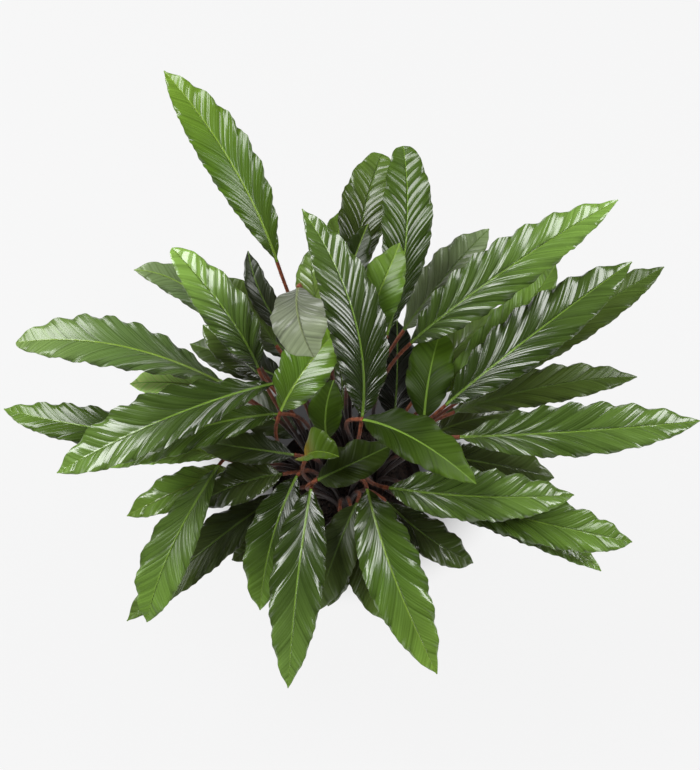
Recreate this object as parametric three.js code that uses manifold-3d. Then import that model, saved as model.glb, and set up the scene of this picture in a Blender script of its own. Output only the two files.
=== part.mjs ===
// A potted furry feather calathea: a round nursery pot of peat, a root crown with four shoots
// of hairy red-brown leaf stalks, and the waved, feather-marked blades they carry.
// Units are millimetres, +Z is up, and the origin is the centre of the pot's underside.
import * as THREE from "three";
import { mergeVertices } from "three/addons/utils/BufferGeometryUtils.js";
import Module from "manifold-3d";

const wasm = await Module();
wasm.setup();

const UP = new THREE.Vector3(0, 0, 1);
const RIGHT = new THREE.Vector3(1, 0, 0);
const TOUCH_GAP = 0.3;
const OVERCUT = 1;

// The number of sides of what is round.
const SIDES = { pot: 40, crown: 24, drain: 12, shoot: 10 };

// The pot: a 16 cm nursery pot, 13 cm tall, with a rolled band at its rim.
const POT = { rimRadius: 80, baseRadius: 58, height: 130, wall: 1.8, floor: 2.4 };
const RIM = { depth: 13, step: 3 };
const DRAIN = { count: 5, radius: 5, circle: 38 };

// The peat: filled to a finger below the rim, and a little higher in the middle.
const PEAT = { edgeHeight: 115, middleHeight: 118, shoulder: 14 };

// The root crown lies in the top of the peat. Four shoots rise from it.
const CROWN = { radius: 42, topRadius: 29.4, below: 12, above: 2 };
const SHOOT = { radius: 12, neckRadius: 7, straight: 3, above: 24, rootCircle: 5 };
const SHOOTS = {
  back: new THREE.Vector2(4, 26),
  left: new THREE.Vector2(-26, 0),
  front: new THREE.Vector2(-2, -28),
  right: new THREE.Vector2(27, -2),
};

// A leaf stalk is round, thins upwards and runs straight on into the blade's midrib.
const STALK = { footRadius: 2.6, topRadius: 1.7, sides: 6, steps: 7 };
const STALK_BEND = { rise: 0.45, sharpest: 0.05, arrival: 0.34 };

// A blade: its thickness, how full and at most how blunt it is, the V between its halves
// in degrees, and the waves along each margin.
const BLADE = { thickness: 0.8, neckHalf: 1.9, tipHalf: 0.5, fullness: 0.68 };
const BLUNTEST = 0.3;
const FOLD = 12;
const WAVE = { pitch: 28, height: 3.4, forWidth: 50 };

// The tones of the blades: old ones low in the plant are deep, and a new one is yellowish.
const TONES = { deep: 0x23401c, full: 0x2f5a1e, light: 0x4c7a2c, pale: 0x8d9a83, young: 0x7f9a2e };

// How the photograph looks at the plant: from the front and well above, 700 by 770 pixels.
const VIEW = {
  width: 700,
  height: 770,
  elevationDegrees: 62,
  distance: 1600,
  mmPerPixel: 1.0,
  aim: new THREE.Vector3(3, 51, 260),
};

// Each leaf: the shoot that it grows from, its tone, the pixels of the photograph that its
// neck, middle and tip show at (a hidden one is guessed), the heights of neck and tip above
// the floor in mm, and in mm again its width and its arch above the line from neck to tip.
// One that isn't widest halfway says at what share of its length it is, a blunt one how
// rounded its tip is, and a young one is folded up by more degrees.
function leaf(shoot, tone, neck, mid, tip, heights, width, arch, widest = 0.5, blunt = 0, fold = FOLD) {
  return { shoot, tone, neck, mid, tip, heights, width, arch, widest, blunt, fold };
}

const LEAVES = [
  // back
  leaf("back", "light", [277, 262], [231, 163], [164, 71], [390, 470], 52, 16, 0.54),
  leaf("back", "full", [387, 335], [406, 240], [403, 146], [330, 425], 50, 12, 0.61, 1),
  leaf("back", "deep", [352, 302], [362, 223], [382, 154], [300, 370], 51, 14, 0.62, 1),
  leaf("back", "light", [312, 322], [328, 262], [349, 203], [272, 316], 36, 12),
  leaf("back", "light", [336, 325], [350, 272], [368, 224], [318, 360], 34, 8),
  leaf("back", "light", [358, 348], [378, 296], [400, 243], [345, 405], 46, 12),
  leaf("left", "pale", [298, 288], [299, 321], [314, 357], [444, 446], 50, 26),
  leaf("back", "deep", [288, 335], [262, 297], [248, 251], [300, 345], 26, 8),
  leaf("back", "deep", [276, 345], [250, 308], [226, 277], [275, 320], 34, 8),
  leaf("back", "deep", [322, 335], [314, 290], [311, 249], [325, 375], 36, 10),
  leaf("back", "deep", [404, 330], [446, 276], [489, 229], [310, 365], 46, 12),
  // left
  leaf("left", "full", [258, 368], [225, 311], [172, 248], [320, 380], 48, 14, 0.5, 0.7),
  leaf("left", "light", [236, 335], [186, 287], [134, 270], [285, 325], 36, 12),
  leaf("left", "deep", [292, 358], [268, 336], [240, 316], [238, 246], 34, 6),
  leaf("left", "deep", [262, 378], [232, 350], [203, 325], [290, 315], 38, 8),
  leaf("left", "light", [225, 385], [119, 346], [16, 343], [300, 325], 55, 30, 0.57, 0.6),
  leaf("left", "light", [235, 396], [182, 384], [130, 384], [275, 285], 40, 14),
  leaf("left", "full", [276, 383], [168, 418], [57, 473], [335, 315], 60, 28, 0.58),
  leaf("left", "full", [279, 414], [190, 431], [108, 468], [312, 285], 46, 22),
  leaf("left", "full", [200, 440], [89, 427], [4, 409], [275, 270], 42, 22),
  leaf("left", "full", [220, 457], [176, 450], [133, 463], [254, 246], 32, 12),
  leaf("left", "deep", [294, 455], [244, 448], [194, 440], [290, 282], 36, 12),
  leaf("left", "full", [219, 465], [171, 549], [147, 622], [270, 218], 48, 18, 0.56),
  leaf("left", "light", [234, 470], [180, 490], [127, 516], [234, 212], 40, 14),
  leaf("left", "deep", [282, 474], [240, 484], [197, 504], [264, 242], 44, 14),
  // front
  leaf("front", "deep", [282, 494], [203, 551], [127, 621], [236, 186], 47, 16),
  leaf("front", "full", [297, 476], [272, 540], [260, 610], [274, 212], 50, 16),
  leaf("front", "full", [311, 489], [297, 585], [288, 688], [288, 215], 52, 20, 0.46),
  leaf("front", "deep", [357, 503], [334, 557], [316, 611], [270, 215], 46, 14),
  leaf("front", "deep", [340, 512], [338, 562], [328, 606], [240, 195], 34, 10),
  leaf("front", "deep", [352, 512], [366, 566], [384, 620], [248, 200], 44, 12),
  leaf("front", "deep", [290, 508], [262, 536], [232, 560], [230, 200], 36, 8),
  leaf("front", "light", [367, 489], [394, 577], [437, 674], [288, 215], 58, 20, 0.47),
  leaf("front", "deep", [386, 502], [430, 539], [473, 563], [262, 225], 40, 12),
  // right
  leaf("right", "full", [389, 488], [482, 497], [574, 495], [300, 290], 55, 18, 0.45),
  leaf("right", "full", [440, 497], [546, 524], [632, 542], [270, 256], 50, 20),
  leaf("right", "full", [425, 503], [518, 520], [601, 571], [238, 224], 46, 18),
  leaf("right", "full", [460, 437], [575, 432], [700, 421], [310, 325], 56, 24),
  leaf("right", "deep", [426, 454], [490, 464], [554, 478], [270, 258], 48, 12, 0.56),
  leaf("right", "deep", [455, 412], [545, 387], [637, 377], [272, 296], 42, 16),
  leaf("right", "full", [446, 405], [534, 334], [632, 262], [335, 390], 58, 20),
  leaf("right", "deep", [472, 392], [575, 322], [664, 267], [300, 350], 46, 16),
  leaf("right", "full", [411, 343], [503, 272], [618, 200], [352, 418], 58, 22, 0.47),
  leaf("right", "full", [436, 396], [510, 326], [556, 264], [318, 370], 42, 12),
  leaf("right", "full", [424, 420], [430, 372], [442, 328], [320, 338], 46, 10),
  // below the leaves that the photograph shows
  leaf("right", "deep", [394, 420], [397, 376], [397, 320], [216, 205], 48, 12),
  leaf("back", "deep", [344, 416], [342, 384], [340, 346], [196, 215], 38, 6),
  leaf("right", "deep", [418, 394], [450, 356], [498, 308], [245, 235], 42, 12),
  leaf("left", "deep", [296, 438], [262, 414], [216, 402], [202, 190], 50, 12),
  leaf("left", "deep", [284, 380], [238, 360], [190, 344], [205, 195], 44, 12),
  leaf("right", "deep", [430, 436], [472, 420], [522, 412], [232, 212], 42, 12),
  // centre
  leaf("right", "full", [363, 420], [416, 440], [476, 484], [350, 345], 48, 16),
  leaf("back", "full", [362, 417], [353, 313], [302, 209], [345, 430], 55, 14, 0.46),
  leaf("left", "light", [281, 411], [306, 368], [342, 326], [334, 370], 52, 12),
  leaf("back", "full", [327, 440], [326, 410], [334, 380], [280, 320], 34, 8),
  leaf("front", "young", [306, 459], [318, 452], [339, 457], [322, 350], 44, 8, 0.5, 0, 40),
  leaf("front", "deep", [318, 480], [352, 464], [392, 445], [304, 322], 42, 12),
];

const group = new THREE.Group();
group.name = "potted_furry_feather_calathea";

// From pixels of the photograph to places on the plant

const elevation = THREE.MathUtils.degToRad(VIEW.elevationDegrees);
const forward = new THREE.Vector3(0, Math.cos(elevation), -Math.sin(elevation));
const upward = new THREE.Vector3(0, Math.sin(elevation), Math.cos(elevation));
const eye = VIEW.aim.clone().addScaledVector(forward, -VIEW.distance);

// The place at a height above the floor that shows at a pixel of the photograph.
function seenAt([across, down], height) {
  const perPixel = VIEW.mmPerPixel / VIEW.distance;
  const ray = forward
    .clone()
    .addScaledVector(RIGHT, (across - VIEW.width / 2) * perPixel)
    .addScaledVector(upward, (VIEW.height / 2 - down) * perPixel);
  return eye.clone().addScaledVector(ray, (height - eye.z) / ray.z);
}

// Solids

// A closed geometry as a manifold-3d solid, for joining and cutting.
function solidOf(geometry) {
  const bare = geometry.clone();
  bare.deleteAttribute("normal");
  bare.deleteAttribute("uv");
  const merged = mergeVertices(bare, 1e-4);
  return new wasm.Manifold(
    new wasm.Mesh({
      numProp: 3,
      vertProperties: new Float32Array(merged.attributes.position.array),
      triVerts: new Uint32Array(merged.index.array),
    }),
  );
}

// A manifold-3d solid as a geometry that three.js can draw.
function geometryOf(solid) {
  const mesh = solid.getMesh();
  const geometry = new THREE.BufferGeometry();
  geometry.setAttribute("position", new THREE.BufferAttribute(mesh.vertProperties, mesh.numProp));
  geometry.setIndex(new THREE.BufferAttribute(mesh.triVerts, 1));
  geometry.computeVertexNormals();
  return geometry;
}

// A profile of [radius, height] pairs turned about the vertical axis.
function turned(profile, segments) {
  const points = profile.map(([radius, height]) => new THREE.Vector2(radius, height));
  return new THREE.LatheGeometry(points, segments).rotateX(Math.PI / 2);
}

function uprightCylinder(radius, low, high, x, y, segments) {
  return new THREE.CylinderGeometry(radius, radius, high - low, segments)
    .rotateX(Math.PI / 2)
    .translate(x, y, (low + high) / 2);
}

// Closed sections of points, each with the same count, joined into one body. The two ends
// are closed by faces of their own, and a quad in a flipped column is split the other way.
function skinned(sections, endFaces, isFlipped = () => false) {
  const count = sections[0].length;
  const faces = [];
  const quad = (a, b, c, d, flip) => {
    if (flip) faces.push(a, b, d, b, c, d);
    else faces.push(a, b, c, a, c, d);
  };
  for (let i = 0; i + 1 < sections.length; i++) {
    for (let j = 0; j < count; j++) {
      const a = i * count + j;
      const b = i * count + ((j + 1) % count);
      quad(a, b, b + count, a + count, isFlipped(j));
    }
  }
  const last = (sections.length - 1) * count;
  for (const [a, b, c] of endFaces) {
    faces.push(a, c, b, last + a, last + b, last + c);
  }
  const geometry = new THREE.BufferGeometry();
  const positions = sections.flat().flatMap((point) => point.toArray());
  geometry.setAttribute("position", new THREE.Float32BufferAttribute(positions, 3));
  geometry.setIndex(faces);
  geometry.computeVertexNormals();
  return geometry;
}

function addMesh(name, geometry, color, roughness) {
  const material = new THREE.MeshStandardMaterial({ color, roughness, metalness: 0 });
  const mesh = new THREE.Mesh(geometry, material);
  mesh.name = name;
  group.add(mesh);
}

// Blades

// The midrib of a leaf: an arched and bowed curve from neck to tip, and the directions
// along it, towards its right margin and out of its upper face.
function midribOf(leaf) {
  const [low, high] = leaf.heights;
  const neck = seenAt(leaf.neck, low);
  const tip = seenAt(leaf.tip, high);
  const middle = seenAt(leaf.mid, (low + high) / 2 + leaf.arch);
  const knee = middle.clone().multiplyScalar(2).addScaledVector(neck, -0.5).addScaledVector(tip, -0.5);
  const curve = new THREE.QuadraticBezierCurve3(neck, knee, tip);
  const chord = tip.clone().sub(neck).normalize();
  const level = chord.clone().cross(UP).normalize();
  return (t) => {
    const tangent = curve.getTangent(t);
    const side = level.clone().addScaledVector(tangent, -level.dot(tangent)).normalize();
    const normal = side.clone().cross(tangent);
    return { point: curve.getPoint(t), tangent, side, normal, length: curve.getLength() };
  };
}

// Half the blade's width: a bow from neck to tip, which the power of t makes widest at the
// leaf's own share of its length, and never less than the midrib. The less the sine's own
// power is towards the tip, the blunter the tip is.
function halfWidth(leaf, t) {
  const shifted = t ** (Math.log(0.5) / Math.log(leaf.widest));
  const power = BLADE.fullness - BLUNTEST * leaf.blunt * t ** 4;
  const full = (leaf.width / 2) * Math.sin(Math.PI * shifted) ** power;
  const least = THREE.MathUtils.lerp(BLADE.neckHalf, BLADE.tipHalf, t);
  return Math.max(full, least);
}

// Sections from margin to midrib to margin, joined into one thin body. Each section lies on
// the crest or in the hollow of a wave, so that the margins go up and down along the blade.
function bladeGeometry(leaf) {
  const fold = THREE.MathUtils.degToRad(leaf.fold);
  const midrib = midribOf(leaf);
  const waves = Math.round(midrib(0).length / WAVE.pitch);
  const sections = [];
  for (let i = 0; i <= 2 * waves; i++) {
    const t = i / (2 * waves);
    const { point, side, normal } = midrib(t);
    const half = halfWidth(leaf, t);
    const crest = WAVE.height * (leaf.width / WAVE.forWidth) * Math.sqrt(Math.sin(Math.PI * t));
    const swell = i % 2 ? crest : -crest;
    const across = [-1, 0, 1].map((v) =>
      point
        .clone()
        .addScaledVector(side, v * half * Math.cos(fold))
        .addScaledVector(normal, Math.abs(v) * half * Math.sin(fold) + v * swell),
    );
    const shifted = (offset) => across.map((p) => p.clone().addScaledVector(normal, offset));
    const under = shifted(-BLADE.thickness / 2).reverse();
    sections.push([...shifted(BLADE.thickness / 2), ...under]);
  }
  const ends = [[0, 1, 5], [1, 4, 5], [1, 2, 4], [2, 3, 4]];
  return skinned(sections, ends, (j) => j === 3 || j === 4);
}

// Leaf stalks, shoots and crown

// A stalk climbs out of its shoot and bends over until it runs into the midrib. The more
// the blade turns away from the way the stalk leans, the shorter the bend at its neck is.
function stalkGeometry(leaf) {
  const { point: neck, tangent } = midribOf(leaf)(0);
  const shoot = SHOOTS[leaf.shoot];
  const outward = new THREE.Vector2(neck.x, neck.y).sub(shoot).setLength(SHOOT.rootCircle);
  const foot = new THREE.Vector3(shoot.x + outward.x, shoot.y + outward.y, PEAT.middleHeight);
  const end = neck.clone().addScaledVector(tangent, -TOUCH_GAP);
  const lean = end.clone().sub(foot);
  const reach = lean.length();
  const bend = STALK_BEND.sharpest + STALK_BEND.arrival * Math.max(0, tangent.dot(lean) / reach);
  const curve = new THREE.CubicBezierCurve3(
    foot,
    foot.clone().addScaledVector(UP, STALK_BEND.rise * reach),
    end.clone().addScaledVector(tangent, -bend * reach),
    end,
  );
  const sections = [];
  const side = RIGHT.clone();
  for (let i = 0; i <= STALK.steps; i++) {
    const t = i / STALK.steps;
    const along = curve.getTangent(t);
    side.addScaledVector(along, -side.dot(along)).normalize();
    const other = along.clone().cross(side);
    const radius = THREE.MathUtils.lerp(STALK.footRadius, STALK.topRadius, t);
    const section = [];
    for (let j = 0; j < STALK.sides; j++) {
      const angle = (2 * Math.PI * j) / STALK.sides;
      section.push(
        curve
          .getPoint(t)
          .addScaledVector(side, radius * Math.cos(angle))
          .addScaledVector(other, radius * Math.sin(angle)),
      );
    }
    sections.push(section);
  }
  return skinned(sections, [[0, 1, 2], [0, 2, 3], [0, 3, 4], [0, 4, 5]]);
}

// The sheathed foot of a shoot, a cone that the stalks part from.
function shootGeometry({ x, y }) {
  const low = PEAT.middleHeight - CROWN.below / 2;
  const profile = [
    [0, low],
    [SHOOT.radius, low],
    [SHOOT.radius, PEAT.middleHeight + SHOOT.straight],
    [SHOOT.neckRadius, PEAT.middleHeight + SHOOT.above],
    [0, PEAT.middleHeight + SHOOT.above],
  ];
  return turned(profile, SIDES.shoot).translate(x, y, 0);
}

function crownGeometry() {
  const low = PEAT.middleHeight - CROWN.below;
  const profile = [
    [0, low],
    [CROWN.radius, low],
    [CROWN.radius, PEAT.middleHeight],
    [CROWN.topRadius, PEAT.middleHeight + CROWN.above],
    [0, PEAT.middleHeight + CROWN.above],
  ];
  return turned(profile, SIDES.crown);
}

function stalksSolid() {
  const shoots = Object.values(SHOOTS).map((place) => solidOf(shootGeometry(place)));
  const stalks = LEAVES.map((leaf) => solidOf(stalkGeometry(leaf)));
  return [...shoots, ...stalks].reduce((whole, piece) => whole.add(piece), solidOf(crownGeometry()));
}

// Pot and peat

const shoulderHeight = POT.height - RIM.depth;

// The inside radius of the pot's wall at a height.
function innerRadius(height) {
  const slope = (POT.rimRadius - RIM.step - POT.baseRadius) / shoulderHeight;
  return POT.baseRadius + slope * height - POT.wall;
}

function potSolid() {
  const profile = [
    [0, 0],
    [POT.baseRadius, 0],
    [POT.rimRadius - RIM.step, shoulderHeight],
    [POT.rimRadius - 1, shoulderHeight + 1],
    [POT.rimRadius, POT.height],
    [POT.rimRadius - POT.wall, POT.height],
    [innerRadius(shoulderHeight), shoulderHeight - 1],
    [innerRadius(POT.floor), POT.floor],
    [0, POT.floor],
  ];
  let pot = solidOf(turned(profile, SIDES.pot));
  for (let i = 0; i < DRAIN.count; i++) {
    const angle = (2 * Math.PI * i) / DRAIN.count;
    const x = DRAIN.circle * Math.cos(angle);
    const y = DRAIN.circle * Math.sin(angle);
    const hole = uprightCylinder(DRAIN.radius, -OVERCUT, POT.floor + OVERCUT, x, y, SIDES.drain);
    pot = pot.subtract(solidOf(hole));
  }
  return pot;
}

function peatSolid() {
  const low = POT.floor + TOUCH_GAP;
  const edge = innerRadius(PEAT.edgeHeight) - TOUCH_GAP;
  const profile = [
    [0, low],
    [innerRadius(low) - TOUCH_GAP, low],
    [edge, PEAT.edgeHeight],
    [edge - PEAT.shoulder, PEAT.middleHeight],
    [0, PEAT.middleHeight],
  ];
  const holeFloor = PEAT.middleHeight - CROWN.below - TOUCH_GAP;
  const holeTop = PEAT.middleHeight + OVERCUT;
  const hole = uprightCylinder(CROWN.radius + TOUCH_GAP, holeFloor, holeTop, 0, 0, SIDES.crown);
  return solidOf(turned(profile, SIDES.pot)).subtract(solidOf(hole));
}

// The plant

addMesh("pot", geometryOf(potSolid()), 0x2b2724, 0.55);
addMesh("peat", geometryOf(peatSolid()), 0x2a1c13, 0.95);
addMesh("stalks", geometryOf(stalksSolid()), 0x6e2f1e, 0.75);
LEAVES.forEach((leaf, i) => {
  addMesh(`blade_${String(i + 1).padStart(2, "0")}`, bladeGeometry(leaf), TONES[leaf.tone], 0.35);
});

export default group;
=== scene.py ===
# %% [markdown]
# # A potted furry feather calathea
#
# The plant is one of the prayer plants. Long, lance-shaped blades with waved margins stand
# on hairy red-brown stalks, and the stalks rise from a few shoots on one root crown. Light
# slides off the glossy blades in silvery bands, because each blade is thrown into folds
# that run forward along its side veins, like the barbs of a feather.
#
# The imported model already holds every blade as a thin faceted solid. This script dresses
# it: each solid is replaced by a finer surface of the same form, worked out with numpy.

import bpy
import numpy as np
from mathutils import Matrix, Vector


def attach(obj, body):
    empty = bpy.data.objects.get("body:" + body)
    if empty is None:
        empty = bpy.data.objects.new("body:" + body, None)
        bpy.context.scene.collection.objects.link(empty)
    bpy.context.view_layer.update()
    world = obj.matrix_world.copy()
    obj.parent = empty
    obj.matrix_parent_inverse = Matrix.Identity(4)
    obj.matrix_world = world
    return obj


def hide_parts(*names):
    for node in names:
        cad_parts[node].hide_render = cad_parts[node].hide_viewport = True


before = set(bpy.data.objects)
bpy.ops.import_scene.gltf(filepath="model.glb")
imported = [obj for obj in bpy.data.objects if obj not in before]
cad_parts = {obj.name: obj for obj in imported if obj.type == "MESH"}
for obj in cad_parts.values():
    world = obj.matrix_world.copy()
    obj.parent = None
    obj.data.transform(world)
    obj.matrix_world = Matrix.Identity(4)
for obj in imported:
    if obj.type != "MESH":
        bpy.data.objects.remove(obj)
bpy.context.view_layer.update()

MM = 0.001

# %% [markdown]
# ## What the plant is made of
#
# These are the plant's real sizes in millimetres, as in the part's own source: the pot, the
# peat, the shoots and one row for each leaf. A leaf's row says which shoot it grows from and
# how old its green looks, and its tone is partly painted shade: a leaf in the plant's shade is
# given the deep green. The three pixels are where its neck, middle and tip show in the
# photograph, and the heights of neck and tip above the floor turn them into places.

# %% Sizes of the pot, the peat and the shoots, in mm
POT = dict(rim_radius=80, base_radius=58, height=130, wall=1.8, floor=2.4)
RIM = dict(depth=13, step=3)
DRAIN = dict(count=5, radius=5, circle=38)
PEAT = dict(edge_height=115, middle_height=118)
SHOOT = dict(radius=12, neck_radius=7, above=24, root_circle=5)
SHOOTS = dict(back=(4, 26), left=(-26, 0), front=(-2, -28), right=(27, -2))
TOUCH_GAP = 0.3

# %% Sizes of the stalks and blades, in mm
STALK = dict(foot_radius=2.6, top_radius=1.7, rise=0.45, sharpest=0.05, arrival=0.34)
BLADE = dict(thickness=0.8, fold_degrees=12, neck_half=1.9, tip_half=0.5, fullness=0.68)
BLUNTEST = 0.3
WAVE = dict(pitch=28, height=3.4, for_width=50)

# %% How the photograph looks at the plant
PHOTO = dict(width=700, height=770, elevation=62, distance=1600, mm_per_pixel=1.0)
AIM = np.array([3.0, 51.0, 260.0])

# %% The leaves: shoot, tone, pixels of neck, middle and tip, heights, width and arch
# and, where they aren't 0.5, 0 and 12, how far along it is widest, how blunt its tip is and
# by how many degrees it is folded
LEAVES = [
    # back
    ("back", "light", (277, 262), (231, 163), (164, 71), (390, 470), 52, 16, 0.54),
    ("back", "full", (387, 335), (406, 240), (403, 146), (330, 425), 50, 12, 0.61, 1),
    ("back", "deep", (352, 302), (362, 223), (382, 154), (300, 370), 51, 14, 0.62, 1),
    ("back", "light", (312, 322), (328, 262), (349, 203), (272, 316), 36, 12),
    ("back", "light", (336, 325), (350, 272), (368, 224), (318, 360), 34, 8),
    ("back", "light", (358, 348), (378, 296), (400, 243), (345, 405), 46, 12),
    ("left", "pale", (298, 288), (299, 321), (314, 357), (444, 446), 50, 26),
    ("back", "deep", (288, 335), (262, 297), (248, 251), (300, 345), 26, 8),
    ("back", "deep", (276, 345), (250, 308), (226, 277), (275, 320), 34, 8),
    ("back", "deep", (322, 335), (314, 290), (311, 249), (325, 375), 36, 10),
    ("back", "deep", (404, 330), (446, 276), (489, 229), (310, 365), 46, 12),
    # left
    ("left", "full", (258, 368), (225, 311), (172, 248), (320, 380), 48, 14, 0.5, 0.7),
    ("left", "light", (236, 335), (186, 287), (134, 270), (285, 325), 36, 12),
    ("left", "deep", (292, 358), (268, 336), (240, 316), (238, 246), 34, 6),
    ("left", "deep", (262, 378), (232, 350), (203, 325), (290, 315), 38, 8),
    ("left", "light", (225, 385), (119, 346), (16, 343), (300, 325), 55, 30, 0.57, 0.6),
    ("left", "light", (235, 396), (182, 384), (130, 384), (275, 285), 40, 14),
    ("left", "full", (276, 383), (168, 418), (57, 473), (335, 315), 60, 28, 0.58),
    ("left", "full", (279, 414), (190, 431), (108, 468), (312, 285), 46, 22),
    ("left", "full", (200, 440), (89, 427), (4, 409), (275, 270), 42, 22),
    ("left", "full", (220, 457), (176, 450), (133, 463), (254, 246), 32, 12),
    ("left", "deep", (294, 455), (244, 448), (194, 440), (290, 282), 36, 12),
    ("left", "full", (219, 465), (171, 549), (147, 622), (270, 218), 48, 18, 0.56),
    ("left", "light", (234, 470), (180, 490), (127, 516), (234, 212), 40, 14),
    ("left", "deep", (282, 474), (240, 484), (197, 504), (264, 242), 44, 14),
    # front
    ("front", "deep", (282, 494), (203, 551), (127, 621), (236, 186), 47, 16),
    ("front", "full", (297, 476), (272, 540), (260, 610), (274, 212), 50, 16),
    ("front", "full", (311, 489), (297, 585), (288, 688), (288, 215), 52, 20, 0.46),
    ("front", "deep", (357, 503), (334, 557), (316, 611), (270, 215), 46, 14),
    ("front", "deep", (340, 512), (338, 562), (328, 606), (240, 195), 34, 10),
    ("front", "deep", (352, 512), (366, 566), (384, 620), (248, 200), 44, 12),
    ("front", "deep", (290, 508), (262, 536), (232, 560), (230, 200), 36, 8),
    ("front", "light", (367, 489), (394, 577), (437, 674), (288, 215), 58, 20, 0.47),
    ("front", "deep", (386, 502), (430, 539), (473, 563), (262, 225), 40, 12),
    # right
    ("right", "full", (389, 488), (482, 497), (574, 495), (300, 290), 55, 18, 0.45),
    ("right", "full", (440, 497), (546, 524), (632, 542), (270, 256), 50, 20),
    ("right", "full", (425, 503), (518, 520), (601, 571), (238, 224), 46, 18),
    ("right", "full", (460, 437), (575, 432), (700, 421), (310, 325), 56, 24),
    ("right", "deep", (426, 454), (490, 464), (554, 478), (270, 258), 48, 12, 0.56),
    ("right", "deep", (455, 412), (545, 387), (637, 377), (272, 296), 42, 16),
    ("right", "full", (446, 405), (534, 334), (632, 262), (335, 390), 58, 20),
    ("right", "deep", (472, 392), (575, 322), (664, 267), (300, 350), 46, 16),
    ("right", "full", (411, 343), (503, 272), (618, 200), (352, 418), 58, 22, 0.47),
    ("right", "full", (436, 396), (510, 326), (556, 264), (318, 370), 42, 12),
    ("right", "full", (424, 420), (430, 372), (442, 328), (320, 338), 46, 10),
    # below the leaves that the photograph shows
    ("right", "deep", (394, 420), (397, 376), (397, 320), (216, 205), 48, 12),
    ("back", "deep", (344, 416), (342, 384), (340, 346), (196, 215), 38, 6),
    ("right", "deep", (418, 394), (450, 356), (498, 308), (245, 235), 42, 12),
    ("left", "deep", (296, 438), (262, 414), (216, 402), (202, 190), 50, 12),
    ("left", "deep", (284, 380), (238, 360), (190, 344), (205, 195), 44, 12),
    ("right", "deep", (430, 436), (472, 420), (522, 412), (232, 212), 42, 12),
    # centre
    ("right", "full", (363, 420), (416, 440), (476, 484), (350, 345), 48, 16),
    ("back", "full", (362, 417), (353, 313), (302, 209), (345, 430), 55, 14, 0.46),
    ("left", "light", (281, 411), (306, 368), (342, 326), (334, 370), 52, 12),
    ("back", "full", (327, 440), (326, 410), (334, 380), (280, 320), 34, 8),
    ("front", "young", (306, 459), (318, 452), (339, 457), (322, 350), 44, 8, 0.5, 0, 40),
    ("front", "deep", (318, 480), (352, 464), (392, 445), (304, 322), 42, 12),
]
print("leaves:", len(LEAVES))
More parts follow.
